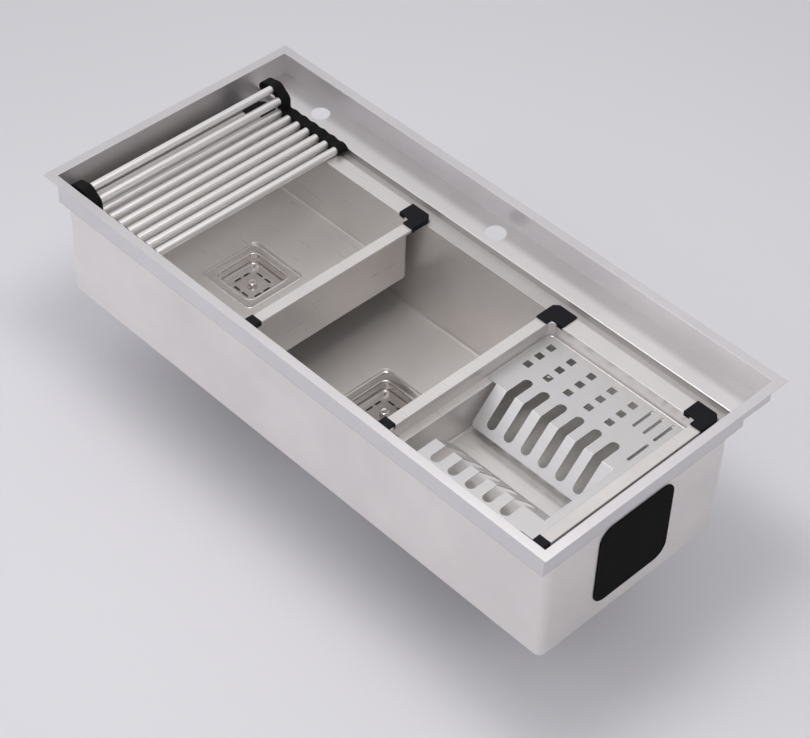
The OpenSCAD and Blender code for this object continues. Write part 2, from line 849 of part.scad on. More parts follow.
// Place of tube i, from the right: the flat ones first, then the raised ones
function tube_place(i) =
    i < flat_tubes
        ? [first_tube_x + (flat_tubes - 1 - i) * tube_pitch, tube_z]
        : [arch_cx + arch_r * cos(arch_step * (i - flat_tubes + 1) - arch_low),
           arch_cz + arch_r * sin(arch_step * (i - flat_tubes + 1) - arch_low)];

// One rod along the tubes' direction, at tube i's place
module rod(i, d, y0, y1) {
    p = tube_place(i);
    translate([p[0], y1, p[1]])
        rotate([90, 0, 0])
            cylinder(d = d, h = y1 - y0);
}

// Steel tubes of the roll-up rack
module rack_tubes() {
    color(bright_steel)
        for (i = [0:flat_tubes + raised_tubes - 1])
            difference() {
                rod(i, tube_d, tube_y0, tube_y1);
                rod(i, tube_d - 2 * tube_wall, tube_y0 - overrun, tube_y1 + overrun);
            }
}

// Outline of a strip, seen from the front: the flat run and the raised end
module strip_outline() {
    half = strip_h / 2;
    reach = arch_r + strip_h;
    translate([first_tube_x, tube_z - half])
        square([strip_right - first_tube_x - half, strip_h]);
    translate([strip_right - half, tube_z])
        circle(r = half);
    translate([first_tube_x, tube_z])
        circle(r = half);
    translate([arch_cx, arch_cz]) {
        difference() {
            circle(r = arch_r + half);
            circle(r = arch_r - half);
            polygon([[0, 0], 2 * reach * [cos(arch_low), -sin(arch_low)],
                     2 * reach * [1, -1], 2 * reach * [-1, -1],
                     2 * reach * [-1, sin(arch_end)],
                     2 * reach * [cos(arch_end), sin(arch_end)]]);
        }
        translate(arch_r * [cos(arch_end), sin(arch_end)])
            circle(r = half);
    }
}

// Rubber strip from y0 to y1 with a blind hole for each tube end
module strip(y0, y1) {
    color(black_rubber)
        difference() {
            translate([0, y1, 0])
                rotate([90, 0, 0])
                    linear_extrude(y1 - y0)
                        strip_outline();
            for (i = [0:flat_tubes + raised_tubes - 1])
                rod(i, tube_d + 2 * tube_fit, tube_y0, tube_y1);
        }
}

module rack_strip_rear() {
    strip(strip_rear_y0, strip_rear_y1);
}

module rack_strip_front() {
    strip(strip_front_y0, strip_front_y1);
}

rim_frame();
tap_deck();
bowl();
drain_flange();
drain_gasket();
waste_cup();
waste_screw();
slip_nut();
tailpiece();
sound_pad_right();
sound_pad_left();
sound_pads_floor();
strainer_plate();
strainer_knob();
basin_shell();
basin_drain_flange();
basin_clips();
basin_strainer_plate();
basin_strainer_knob();
tray_shell();
tray_clips();
dish_rack();
rack_tubes();
rack_strip_rear();
rack_strip_front();
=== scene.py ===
import math

import bmesh
import bpy
from mathutils import Matrix, Vector


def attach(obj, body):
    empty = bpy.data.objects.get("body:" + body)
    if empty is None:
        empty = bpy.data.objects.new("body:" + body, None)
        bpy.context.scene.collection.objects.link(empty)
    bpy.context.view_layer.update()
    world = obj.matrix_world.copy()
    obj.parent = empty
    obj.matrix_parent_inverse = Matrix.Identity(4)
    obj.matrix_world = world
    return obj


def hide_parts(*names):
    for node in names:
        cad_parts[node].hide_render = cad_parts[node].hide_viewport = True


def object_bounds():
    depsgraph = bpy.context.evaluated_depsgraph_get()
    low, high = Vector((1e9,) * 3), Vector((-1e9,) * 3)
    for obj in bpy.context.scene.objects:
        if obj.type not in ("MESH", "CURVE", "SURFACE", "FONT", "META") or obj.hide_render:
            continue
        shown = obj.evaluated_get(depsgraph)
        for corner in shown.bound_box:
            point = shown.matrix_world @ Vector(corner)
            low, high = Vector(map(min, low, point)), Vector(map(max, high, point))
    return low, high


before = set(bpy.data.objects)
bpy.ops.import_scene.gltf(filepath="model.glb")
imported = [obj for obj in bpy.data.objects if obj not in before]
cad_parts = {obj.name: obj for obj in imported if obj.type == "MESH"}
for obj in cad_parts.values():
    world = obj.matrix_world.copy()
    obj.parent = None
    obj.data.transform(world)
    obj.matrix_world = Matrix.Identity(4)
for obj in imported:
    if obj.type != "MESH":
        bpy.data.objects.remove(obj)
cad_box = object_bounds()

# Material helpers. They build the nodes that the sky and the materials share.
# A material's place always comes from the piece's own coordinates, in metres.


def start_material(name):
    material = bpy.data.materials.new(name)
    material.use_nodes = True
    return material, material.node_tree, material.node_tree.nodes["Principled BSDF"]


def feed(tree, socket, value):
    if isinstance(value, (int, float)):
        socket.default_value = value
    else:
        tree.links.new(value, socket)


def own_place(tree):
    return tree.nodes.new("ShaderNodeTexCoord").outputs["Object"]


def split_axes(tree, vector):
    axes = tree.nodes.new("ShaderNodeSeparateXYZ")
    tree.links.new(vector, axes.inputs[0])
    return axes.outputs


def calculate(tree, operation, *values):
    node = tree.nodes.new("ShaderNodeMath")
    node.operation = operation
    for socket, value in zip(node.inputs, values):
        feed(tree, socket, value)
    return node.outputs[0]


def noise_on(tree, vector, scale, detail, roughness=0.55):
    noise = tree.nodes.new("ShaderNodeTexNoise")
    noise.inputs["Scale"].default_value = scale
    noise.inputs["Detail"].default_value = detail
    noise.inputs["Roughness"].default_value = roughness
    tree.links.new(vector, noise.inputs["Vector"])
    return noise.outputs["Fac"]


def mapped(tree, source, scale):
    mapping = tree.nodes.new("ShaderNodeMapping")
    mapping.inputs["Scale"].default_value = scale
    tree.links.new(source, mapping.inputs["Vector"])
    return mapping.outputs["Vector"]


def ranged(tree, source, between, values, interpolation="LINEAR"):
    node = tree.nodes.new("ShaderNodeMapRange")
    node.interpolation_type = interpolation
    for label, value in zip(("From Min", "From Max", "To Min", "To Max"), (*between, *values)):
        node.inputs[label].default_value = value
    tree.links.new(source, node.inputs["Value"])
    return node.outputs["Result"]


def blend_values(tree, factor, first, second):
    mix = tree.nodes.new("ShaderNodeMix")
    mix.data_type = "FLOAT"
    for label, value in (("Factor", factor), ("A", first), ("B", second)):
        feed(tree, mix.inputs[label], value)
    return mix.outputs["Result"]


def blend_colours(tree, factor, first, second):
    mix = tree.nodes.new("ShaderNodeMix")
    mix.data_type = "RGBA"
    mix.inputs["A"].default_value = (*first, 1)
    mix.inputs["B"].default_value = (*second, 1)
    tree.links.new(factor, mix.inputs["Factor"])
    return mix.outputs["Result"]


def add_relief(tree, shader, height, strength, distance):
    bump = tree.nodes.new("ShaderNodeBump")
    bump.inputs["Strength"].default_value = strength
    bump.inputs["Distance"].default_value = distance
    tree.links.new(height, bump.inputs["Height"])
    tree.links.new(bump.outputs["Normal"], shader.inputs["Normal"])


# Studio. The camera stands where the photograph was taken from: in front of the
# sink and to its right, looking down at it and turned a little. The floor is a
# plain pale sheet. Soft boxes overhead, in front and to the right light it.
TURN = math.radians(44.45)
TILT = math.radians(44.35)
ROLL = math.radians(2.25)
CAMERA_ACROSS = 0.00699
CAMERA_BELOW = 0.14282
CAMERA_AWAY = 3.40636
FOCAL_LENGTH = 101.17
RIM_TOP_MIDDLE = Vector((0, 0, 0.0012))
level_right = Vector((math.cos(TURN), math.sin(TURN), 0))
camera_back = Vector((math.sin(TURN) * math.cos(TILT), -math.cos(TURN) * math.cos(TILT),
                      math.sin(TILT)))
level_up = camera_back.cross(level_right)
camera_right = level_right * math.cos(ROLL) + level_up * math.sin(ROLL)
camera_up = level_up * math.cos(ROLL) - level_right * math.sin(ROLL)
camera_place = (RIM_TOP_MIDDLE + camera_right * CAMERA_ACROSS - camera_up * CAMERA_BELOW
                + camera_back * CAMERA_AWAY)
camera = bpy.data.objects.new("camera", bpy.data.cameras.new("camera"))
camera.data.sensor_width = 36
camera.data.lens = FOCAL_LENGTH
camera.data.clip_end = 30
camera_axes = Matrix((camera_right, camera_up, camera_back)).transposed().to_4x4()
camera.matrix_world = Matrix.Translation(camera_place) @ camera_axes
bpy.context.scene.collection.objects.link(camera)
bpy.context.scene.camera = camera
bpy.context.scene.view_settings.view_transform = "Standard"


def add_soft_box(name, place, aim, width, depth, watts, colour):
    lamp = bpy.data.lights.new(name, "AREA")
    lamp.shape = "RECTANGLE"
    lamp.size = width
    lamp.size_y = depth
    lamp.energy = watts
    lamp.color = colour
    holder = bpy.data.objects.new(name, lamp)
    facing = (Vector(place) - Vector(aim)).to_track_quat("Z", "Y").to_matrix().to_4x4()
    holder.matrix_world = Matrix.Translation(place) @ facing
    bpy.context.scene.collection.objects.link(holder)


WARM = (1.0, 0.98, 0.96)
WARM_WHITE = (1.0, 0.985, 0.97)
SIDE_WHITE = (1.0, 0.98, 0.97)
COOL_WHITE = (0.98, 0.975, 1.0)
COOL = (0.96, 0.955, 1.0)
add_soft_box("overhead_box", (-0.6, 0.9, 2.6), (0, 0.1, -0.1), 3.2, 2.6, 6, WARM_WHITE)
add_soft_box("front_box", (-1.3, -2.6, 2.2), (0, 0, -0.1), 1.6, 1.2, 9, COOL_WHITE)
add_soft_box("low_front_box", (-1.0, -2.4, -0.1), (0, -0.24, -0.13), 2.0, 0.24, 9, COOL)
add_soft_box("side_box", (2.3, -0.3, 1.3), (-0.1, 0, -0.1), 1.2, 0.8, 4, SIDE_WHITE)
add_soft_box("top_box", (0.1, -0.15, 1.5), (0.03, -0.05, 0), 0.7, 0.5, 10, WARM)

# The sky is brighter at the left than at the right, with slow clouds in it
SKY_COLOUR = (0.955, 0.945, 0.965, 1)
SKY_LEFT_TO_RIGHT = (0.92, 0.40)
SKY_MOTTLE = (0.75, 1.1)
world = bpy.data.worlds.new("studio")
world.use_nodes = True
sky_tree = world.node_tree
sky = sky_tree.nodes["Background"]
sky.inputs["Color"].default_value = SKY_COLOUR
sky_way = sky_tree.nodes.new("ShaderNodeTexCoord").outputs["Generated"]
sky_level = ranged(sky_tree, split_axes(sky_tree, sky_way)["X"], (-1, 1), SKY_LEFT_TO_RIGHT)
sky_clouds = noise_on(sky_tree, sky_way, 1.6, 1, 0.5)
sky_mottle = ranged(sky_tree, sky_clouds, (0.35, 0.65), SKY_MOTTLE)
feed(sky_tree, sky.inputs["Strength"], calculate(sky_tree, "MULTIPLY", sky_level, sky_mottle))
bpy.context.scene.world = world

FLOOR_GAP = 0.0005
floor_material, _, floor_shader = start_material("pale_floor")
floor_shader.inputs["Base Color"].default_value = (0.78, 0.78, 0.82, 1)
floor_shader.inputs["Roughness"].default_value = 0.85
floor_bm = bmesh.new()
bmesh.ops.create_grid(floor_bm, x_segments=1, y_segments=1, size=4)
bmesh.ops.translate(floor_bm, verts=floor_bm.verts, vec=(0, 0, cad_box[0][2] - FLOOR_GAP))
floor_mesh = bpy.data.meshes.new("floor")
floor_bm.to_mesh(floor_mesh)
floor_bm.free()
floor = bpy.data.objects.new("floor", floor_mesh)
floor.data.materials.append(floor_material)
bpy.context.scene.collection.objects.link(floor)

# Shape helpers. A pressed sheet is drawn in millimetres as one skin: outlines are
# pressed or folded step by step, each step an inset and a rise, and then what is
# left between them is filled. A solidify modifier gives the skin its thickness.
MM = 0.001
EASE_ANGLE = math.radians(40)
LEVEL_TOLERANCE = 0.001
MERGE_DISTANCE = 0.002
EDGE_TOLERANCE = 0.01
CORNERS = [(side_x, side_y) for side_x in (-1, 1) for side_y in (-1, 1)]


def everything(bm):
    return list(bm.verts) + list(bm.edges) + list(bm.faces)


def only(kind, geom):
    return [item for item in geom if isinstance(item, kind)]


def rounded_face(bm, x0, x1, y0, y1, z, radius, segments=8):
    before = set(bm.faces)
    verts = bmesh.ops.create_grid(bm, x_segments=1, y_segments=1, size=0.5)["verts"]
    bmesh.ops.scale(bm, vec=(x1 - x0, y1 - y0, 1), verts=verts)
    bmesh.ops.translate(bm, vec=((x0 + x1) / 2, (y0 + y1) / 2, z), verts=verts)
    if radius:
        bmesh.ops.bevel(bm, geom=verts, offset=radius, offset_type="OFFSET", segments=segments,
                        profile=0.5, affect="VERTICES", material=-1)
    return next(f for f in bm.faces if f not in before)


def square_face(bm, x, y, half, z, radius, segments=8):
    return rounded_face(bm, x - half, x + half, y - half, y + half, z, radius, segments)


def round_face(bm, x, y, z, radius, segments=48):
    before = set(bm.faces)
    verts = bmesh.ops.create_circle(bm, cap_ends=True, radius=radius, segments=segments)["verts"]
    bmesh.ops.translate(bm, vec=(x, y, z), verts=verts)
    return next(f for f in bm.faces if f not in before)


def outer_edge(bm, x0, x1, y0, y1, z, radius=0, segments=8):
    rounded_face(bm, x0, x1, y0, y1, z, radius, segments)
    bmesh.ops.delete(bm, geom=list(bm.faces), context="FACES_ONLY")


def press_hole(bm, face, profile=()):
    for inset, rise in profile:
        if inset:
            bmesh.ops.inset_region(bm, faces=[face], thickness=inset, use_even_offset=True,
                                   use_boundary=True)
        else:
            face = bmesh.ops.extrude_discrete_faces(bm, faces=[face])["faces"][0]
        bmesh.ops.translate(bm, vec=(0, 0, rise), verts=face.verts)
    bmesh.ops.delete(bm, geom=[face], context="FACES_ONLY")


def arc_steps(steps, point):
    points = [point(math.pi / 2 * i / steps) for i in range(steps + 1)]
    return [(b[0] - a[0], b[1] - a[1]) for a, b in zip(points, points[1:])]


def fold_down(radius, steps=3):
    return arc_steps(steps, lambda a: (radius * math.sin(a), -radius * (1 - math.cos(a))))


def fold_in(radius, sign, steps=3):
    return arc_steps(steps, lambda a: (radius * (1 - math.cos(a)), sign * radius * math.sin(a)))


def open_edges(bm, z):
    return [e for e in bm.edges
            if len(e.link_faces) < 2 and all(abs(v.co.z - z) < LEVEL_TOLERANCE for v in e.verts)]


def pull_edges(bm, edges, way):
    made = bmesh.ops.extrude_edge_only(bm, edges=edges)["geom"]
    bmesh.ops.translate(bm, vec=way, verts=only(bmesh.types.BMVert, made))
    return only(bmesh.types.BMEdge, made)


def fill_level(bm, z):
    bmesh.ops.triangle_fill(bm, use_beauty=True, edges=open_edges(bm, z), normal=(0, 0, 1))


def face_up(bm):
    bmesh.ops.remove_doubles(bm, verts=bm.verts, dist=MERGE_DISTANCE)
    bmesh.ops.recalc_face_normals(bm, faces=bm.faces)
    level = max((f for f in bm.faces if abs(f.normal.z) > 0.9), key=lambda f: f.calc_area())
    if level.normal.z < 0:
        bmesh.ops.reverse_faces(bm, faces=bm.faces)


def raise_block(bm, faces, way):
    block = bmesh.ops.extrude_face_region(bm, geom=faces)["geom"]
    bmesh.ops.translate(bm, vec=way, verts=only(bmesh.types.BMVert, block))
    bmesh.ops.recalc_face_normals(bm, faces=bm.faces)


def finish_piece(bm, name, body, material, stands_for, sheet=0, ease=0.3, ease_steps=2):
    bmesh.ops.scale(bm, vec=(MM, MM, MM), verts=bm.verts)
    mesh = bpy.data.meshes.new(name)
    bm.to_mesh(mesh)
    bm.free()
    mesh.polygons.foreach_set("use_smooth", [True] * len(mesh.polygons))
    mesh.materials.append(material)
    piece = bpy.data.objects.new(name, mesh)
    bpy.context.scene.collection.objects.link(piece)
    if sheet:
        thicken = piece.modifiers.new("sheet", "SOLIDIFY")
        thicken.thickness = sheet * MM
        thicken.offset = -1
        thicken.use_even_offset = True
    if ease:
        soften = piece.modifiers.new("eased_edges", "BEVEL")
        soften.width = ease * MM
        soften.segments = ease_steps
        soften.limit_method = "ANGLE"
        soften.angle_limit = EASE_ANGLE
        soften.use_clamp_overlap = True
    flat = piece.modifiers.new("flat_faces", "WEIGHTED_NORMAL")
    flat.weight = 80
    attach(piece, body)
    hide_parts(*stands_for)


# Brushed grain. Fine scratches run along the sink on most faces and along its
# depth on the end walls. Slow clouds stand for the marks of handling.
FINE_GRAIN = (14, 900)
WIDE_GRAIN = (5, 170)
WIDE_SHARE = 0.45
END_WALL_NORMAL = 0.7
CLOUD_SCALE = 7
grain = bpy.data.node_groups.new("brushed_grain", "ShaderNodeTree")
for label in ("Lines", "Clouds"):
    grain.interface.new_socket(label, in_out="OUTPUT", socket_type="NodeSocketFloat")
grain_out = grain.nodes.new("NodeGroupOutput")
grain_place = own_place(grain)


def grain_lines(axis):
    layers = []
    for (along, across), detail in ((FINE_GRAIN, 2), (WIDE_GRAIN, 3)):
        scale = [across] * 3
        scale[axis] = along
        layers.append(noise_on(grain, mapped(grain, grain_place, scale), 1, detail))
    return blend_values(grain, WIDE_SHARE, *layers)


grain_normal = split_axes(grain, grain.nodes.new("ShaderNodeNewGeometry").outputs["Normal"])
grain_side = calculate(grain, "ABSOLUTE", grain_normal["X"])
grain_end = calculate(grain, "GREATER_THAN", grain_side, END_WALL_NORMAL)
feed(grain, grain_out.inputs["Lines"],
     blend_values(grain, grain_end, grain_lines(0), grain_lines(1)))
feed(grain, grain_out.inputs["Clouds"], noise_on(grain, grain_place, CLOUD_SCALE, 3))


def brushed_steel(name, dark, light, rough_low, rough_high, relief, metallic=0.93):
    material, tree, shader = start_material(name)
    shader.inputs["Metallic"].default_value = metallic
    marks = tree.nodes.new("ShaderNodeGroup")
    marks.node_tree = grain
    lines = marks.outputs["Lines"]
    feed(tree, shader.inputs["Base Color"],
         blend_colours(tree, marks.outputs["Clouds"], dark, light))
    feed(tree, shader.inputs["Roughness"],
         ranged(tree, lines, (0.3, 0.7), (rough_low, rough_high)))
    add_relief(tree, shader, lines, relief, 0.0002)
    return material


def shade_along(material, axis, between, shades):
    tree = material.node_tree
    socket = tree.nodes["Principled BSDF"].inputs["Base Color"]
    place = split_axes(tree, own_place(tree))
    shade = tree.nodes.new("ShaderNodeVectorMath")
    shade.operation = "SCALE"
    feed(tree, shade.inputs[0], socket.links[0].from_socket)
    feed(tree, shade.inputs["Scale"], ranged(tree, place[axis], between, shades, "SMOOTHSTEP"))
    feed(tree, socket, shade.outputs[0])


def moulded(name, colour, roughness, relief, scale):
    spread = 0.05
    material, tree, shader = start_material(name)
    place = own_place(tree)
    slow = noise_on(tree, place, 30, 2)
    darker = [c * (1 - 3 * spread) for c in colour]
    lighter = [min(1, c * (1 + 3 * spread)) for c in colour]
    feed(tree, shader.inputs["Base Color"], blend_colours(tree, slow, darker, lighter))
    feed(tree, shader.inputs["Roughness"],
         blend_values(tree, slow, roughness - spread, roughness + spread))
    shader.inputs["Specular IOR Level"].default_value = 0.15
    add_relief(tree, shader, noise_on(tree, place, scale, 3), relief, 0.0003)
    return material


# Rim. One strip of 1.2 mm stainless sheet is folded to an L and mitred at the
# corners: the flat flange lies on the worktop, and the wall under it goes down
# to the tap deck at the back and to the ledge everywhere else.
SHEET = 1.2
REST_GAP = 0.3
RIM_TOP = SHEET
DECK_Z = RIM_TOP - 40
LEDGE_Z = RIM_TOP - 53
OPEN_X = 524
OPEN_Y = 237
FLANGE_W = 16
DECK_Y = OPEN_Y - 59
RIM_CORNER = 0.8
RIM_FOLD = 1.0
rim_steel = brushed_steel("rim_steel", (0.65, 0.63, 0.645), (0.77, 0.755, 0.77), 0.38, 0.50, 0.12)
rim = bmesh.new()
outer_edge(rim, -OPEN_X - FLANGE_W, OPEN_X + FLANGE_W, -OPEN_Y - FLANGE_W, OPEN_Y + FLANGE_W,
           RIM_TOP, RIM_CORNER, 2)
press_hole(rim, rounded_face(rim, -OPEN_X - RIM_FOLD, OPEN_X + RIM_FOLD, -OPEN_Y - RIM_FOLD,
                             OPEN_Y + RIM_FOLD, RIM_TOP, 0),
           fold_down(RIM_FOLD) + [(0, DECK_Z - RIM_TOP + RIM_FOLD)])
fill_level(rim, RIM_TOP)
bmesh.ops.bisect_plane(rim, geom=everything(rim), plane_co=(0, DECK_Y, 0), plane_no=(0, 1, 0))
before_deck = [e for e in open_edges(rim, DECK_Z)
               if all(v.co.y < DECK_Y + EDGE_TOLERANCE for v in e.verts)]
pull_edges(rim, before_deck, (0, 0, LEDGE_Z - DECK_Z))
face_up(rim)
finish_piece(rim, "rim", "sink", rim_steel, ["rim_frame"], sheet=SHEET)

# Tap deck. A flat shelf of the same sheet, 40 mm below the flange, with a round
# punched hole for the tap and one for a soap pump. Its front edge is folded
# down to the ledge, and its ends are welded to the rim.
TAP_HOLE = (0, 17.5)
SIDE_HOLE = (-403, 16)
TAP_Y = OPEN_Y - 30
DECK_FOLD = 1.5
PUNCH_ROUND = 0.5
deck_steel = brushed_steel("deck_steel", (0.76, 0.74, 0.74), (0.88, 0.86, 0.86), 0.30, 0.40, 0.10)
# Painted shade: the colour of its rear half and its folded front is darkened, and the band between
# them is left bright
shade_along(deck_steel, "Y", (0.196, 0.216), (1.0, 0.68))
shade_along(deck_steel, "Z", (-0.0415, -0.0395), (0.62, 1.0))
deck = bmesh.new()
outer_edge(deck, -OPEN_X - SHEET, OPEN_X + SHEET, DECK_Y + DECK_FOLD, OPEN_Y + SHEET, DECK_Z)
for hole_x, hole_r in (TAP_HOLE, SIDE_HOLE):
    press_hole(deck, round_face(deck, hole_x, TAP_Y, DECK_Z, hole_r + PUNCH_ROUND),
               fold_down(PUNCH_ROUND))
fill_level(deck, DECK_Z)
front = [e for e in open_edges(deck, DECK_Z)
         if all(abs(v.co.y - DECK_Y - DECK_FOLD) < EDGE_TOLERANCE for v in e.verts)]
for inward, fall in fold_down(DECK_FOLD) + [(0, LEDGE_Z - DECK_Z + DECK_FOLD)]:
    front = pull_edges(deck, front, (0, -inward, fall))
face_up(deck)
finish_piece(deck, "tap_shelf", "sink", deck_steel, ["tap_deck"], sheet=SHEET)

# Bowl. A box of folded sheet with tight upright corners and a small radius
# round its floor. Its top is turned out into the ledge that the inserts slide
# on, and a shallow square recess is pressed into the floor for the drain.
FLOOR_Z = RIM_TOP - 243
BOWL = (-524, 524, -224, 150)
BOWL_R = 12
BOWL_FLOOR_ROUND = 5
PAN_MOUTH = 1.0
RECESS = 118
RECESS_R = 12
RECESS_DROP = 4
RECESS_ROUND = 1.5
DRAIN_HOLE_R = 55
DRAIN_X = 12.5
DRAIN_Y = (BOWL[2] + BOWL[3]) / 2
bowl_steel = brushed_steel("bowl_steel", (0.68, 0.655, 0.645), (0.88, 0.845, 0.825),
                           0.30, 0.44, 0.09, 0.55)
# Painted shade: the ledge's colour is darkened below the bowl's top, standing in for the shade of
# the inserts' bars over it
shade_along(bowl_steel, "Z", (-0.0545, -0.0525), (1.0, 0.70))


def add_recess(bm, x, y, floor_z):
    press_hole(bm, square_face(bm, x, y, RECESS / 2 + RECESS_ROUND, floor_z,
                               RECESS_R + RECESS_ROUND),
               fold_down(RECESS_ROUND) + [(0, 2 * RECESS_ROUND - RECESS_DROP)]
               + fold_in(RECESS_ROUND, -1))
    press_hole(bm, round_face(bm, x, y, floor_z - RECESS_DROP, DRAIN_HOLE_R))
    fill_level(bm, floor_z - RECESS_DROP)


def add_pan(bm, inside, radius, top, bottom, mouth, floor_round):
    x0, x1, y0, y1 = inside
    press_hole(bm, rounded_face(bm, x0 - mouth, x1 + mouth, y0 - mouth, y1 + mouth, top,
                                radius + mouth),
               fold_down(mouth) + [(0, bottom - top + mouth + floor_round)]
               + fold_in(floor_round, -1, 5))


bowl = bmesh.new()
outer_edge(bowl, -OPEN_X - SHEET, OPEN_X + SHEET, -OPEN_Y - SHEET, DECK_Y + SHEET, LEDGE_Z)
add_pan(bowl, BOWL, BOWL_R, LEDGE_Z, FLOOR_Z, PAN_MOUTH, BOWL_FLOOR_ROUND)
fill_level(bowl, LEDGE_Z)
add_recess(bowl, DRAIN_X, DRAIN_Y, FLOOR_Z)
fill_level(bowl, FLOOR_Z)
face_up(bowl)
finish_piece(bowl, "bowl_shell", "sink", bowl_steel, ["bowl"], sheet=SHEET)

# Square drains, one in the bowl and one in the basin. Each is a stamping with a
# raised bead round its flange, a square well, a step for the strainer and a
# lower well with four water holes and the hole of the waste screw.
DRAIN_SHEET = 1.2
DRAIN_PLAY = 0.2
FLANGE_EDGE = 0.4
FLANGE_BEAD = [(0.4, 0.4), (0.9, 0), (0.8, 0.5), (0.8, 0.25), (0.8, -0.25), (0.8, -0.5)]
WELL = 81
WELL_R = 10
WELL_DROP = 20
WELL_LIP_W = 4
WELL_LIP = [(0.8, 0.4), (0.7, 0.2)]
WELL_TURN = 2.5
WELL_FOOT = 1.5
STEP_ABOVE = 0.5
STEP_W = 2.5
STEP_TURN = 1
LOWER_DROP = 10
WATER_HOLE_AT = 17.75
WATER_HOLE_R = 10
SCREW_HOLE_R = 3.3
BASIN_FLOOR = RIM_TOP - 165
BASIN_DRAIN = (-287, -47)
drain_steel = brushed_steel("drain_steel", (0.80, 0.765, 0.745), (0.86, 0.825, 0.805),
                            0.20, 0.22, 0.004, 1.0)


def add_drain(name, body, node, x, y, floor_z):
    top = floor_z - RECESS_DROP + DRAIN_SHEET
    base = top - WELL_DROP - LOWER_DROP
    lip_rise = sum(rise for _, rise in WELL_LIP)
    well_wall = STEP_ABOVE - lip_rise + WELL_TURN + WELL_FOOT - WELL_DROP
    bm = bmesh.new()
    press_hole(bm, square_face(bm, x, y, RECESS / 2 - DRAIN_PLAY, top - FLANGE_EDGE,
                               RECESS_R - DRAIN_PLAY), FLANGE_BEAD)
    press_hole(bm, square_face(bm, x, y, WELL / 2 + WELL_LIP_W, top, WELL_R + WELL_LIP_W),
               WELL_LIP + fold_down(WELL_TURN, 4) + [(0, well_wall)] + fold_in(WELL_FOOT, -1)
               + [(STEP_W, 0)] + fold_down(STEP_TURN))
    step_z = min(v.co.z for v in bm.verts)
    pull_edges(bm, open_edges(bm, step_z), (0, 0, base - step_z))
    for side_x, side_y in CORNERS:
        press_hole(bm, round_face(bm, x + side_x * WATER_HOLE_AT, y + side_y * WATER_HOLE_AT,
                                  base, WATER_HOLE_R, 24))
    press_hole(bm, round_face(bm, x, y, base, SCREW_HOLE_R, 16))
    fill_level(bm, base)
    fill_level(bm, top)
    face_up(bm)
    finish_piece(bm, name, body, drain_steel, [node], sheet=DRAIN_SHEET, ease=0.25)


add_drain("bowl_drain", "sink", "drain_flange", DRAIN_X, DRAIN_Y, FLOOR_Z)
add_drain("basin_drain", "basin", "basin_drain_flange", *BASIN_DRAIN, BASIN_FLOOR)

# Strainers. Each is a square pressed plate with a turned-up edge that drops into
# its drain's well: eight long slots round its middle, a small hole near each
# corner and a turned knob, riveted through its middle, to lift it by.
STRAINER_SIDE = 79.6
STRAINER_R = 9.3
STRAINER_Z = DRAIN_SHEET - RECESS_DROP - WELL_DROP + REST_GAP
STRAINER_SHEET = 1.0
STRAINER_H = 4
STRAINER_ROUND = 1.2
STRAINER_SLOT = (22.2, 25.8)
STRAINER_SLOT_L = 14
STRAINER_SLOT_R = 1.75
STRAINER_SLOT_SHIFT = 9.5
CORNER_HOLE_AT = 30.5
CORNER_HOLE_R = 2
KNOB_OUTLINE = [(0, 1), (4, 1), (4, 4.2), (6.8, 4.4), (7.7, 4.9), (8, 5.8), (7.8, 7), (7, 7.8),
                (5.6, 8), (4.6, 7.6), (3, 7.3), (0, 7.2)]


def add_plate(name, body, node, x, y, z0):
    bm = bmesh.new()
    level = z0 + STRAINER_SHEET
    wall = STRAINER_H - STRAINER_ROUND - STRAINER_SHEET
    press_hole(bm, square_face(bm, x, y, STRAINER_SIDE / 2 - STRAINER_SHEET, z0 + STRAINER_H,
                               STRAINER_R - STRAINER_SHEET),
               [(0, -wall)] + fold_in(STRAINER_ROUND, -1))
    for quarter in range(4):
        for side in (1, -1):
            middle = side * STRAINER_SLOT_SHIFT
            face = rounded_face(bm, *STRAINER_SLOT, middle - STRAINER_SLOT_L / 2,
                                middle + STRAINER_SLOT_L / 2, 0, STRAINER_SLOT_R, 4)
            turned = Matrix.Rotation(quarter * math.pi / 2, 4, "Z")
            bmesh.ops.transform(bm, matrix=Matrix.Translation((x, y, level)) @ turned,
                                verts=face.verts)
            press_hole(bm, face)
    for side_x, side_y in CORNERS:
        press_hole(bm, round_face(bm, x + side_x * CORNER_HOLE_AT, y + side_y * CORNER_HOLE_AT,
                                  level, CORNER_HOLE_R, 12))
    fill_level(bm, level)
    face_up(bm)
    finish_piece(bm, name, body, drain_steel, [node], sheet=STRAINER_SHEET, ease=0.2)


def add_knob(name, body, node, x, y, z0):
    bm = bmesh.new()
    points = [bm.verts.new((r, 0, h)) for r, h in KNOB_OUTLINE]
    for a, b in zip(points, points[1:]):
        bm.edges.new((a, b))
    bmesh.ops.spin(bm, geom=everything(bm), cent=(0, 0, 0), axis=(0, 0, 1), angle=2 * math.pi,
                   steps=40, use_merge=True)
    bmesh.ops.remove_doubles(bm, verts=bm.verts, dist=0.001)
    bmesh.ops.recalc_face_normals(bm, faces=bm.faces)
    bmesh.ops.translate(bm, vec=(x, y, z0), verts=bm.verts)
    finish_piece(bm, name, body, drain_steel, [node], ease=0)


for name, body, node, x, y, floor_z in (
        ("bowl_strainer", "strainer", "strainer", DRAIN_X, DRAIN_Y, FLOOR_Z),
        ("basin_strainer", "basin_strainer", "basin_strainer", *BASIN_DRAIN, BASIN_FLOOR)):
    add_plate(name, body, node + "_plate", x, y, floor_z + STRAINER_Z)
    add_knob(name + "_grip", body, node + "_knob", x, y, floor_z + STRAINER_Z)

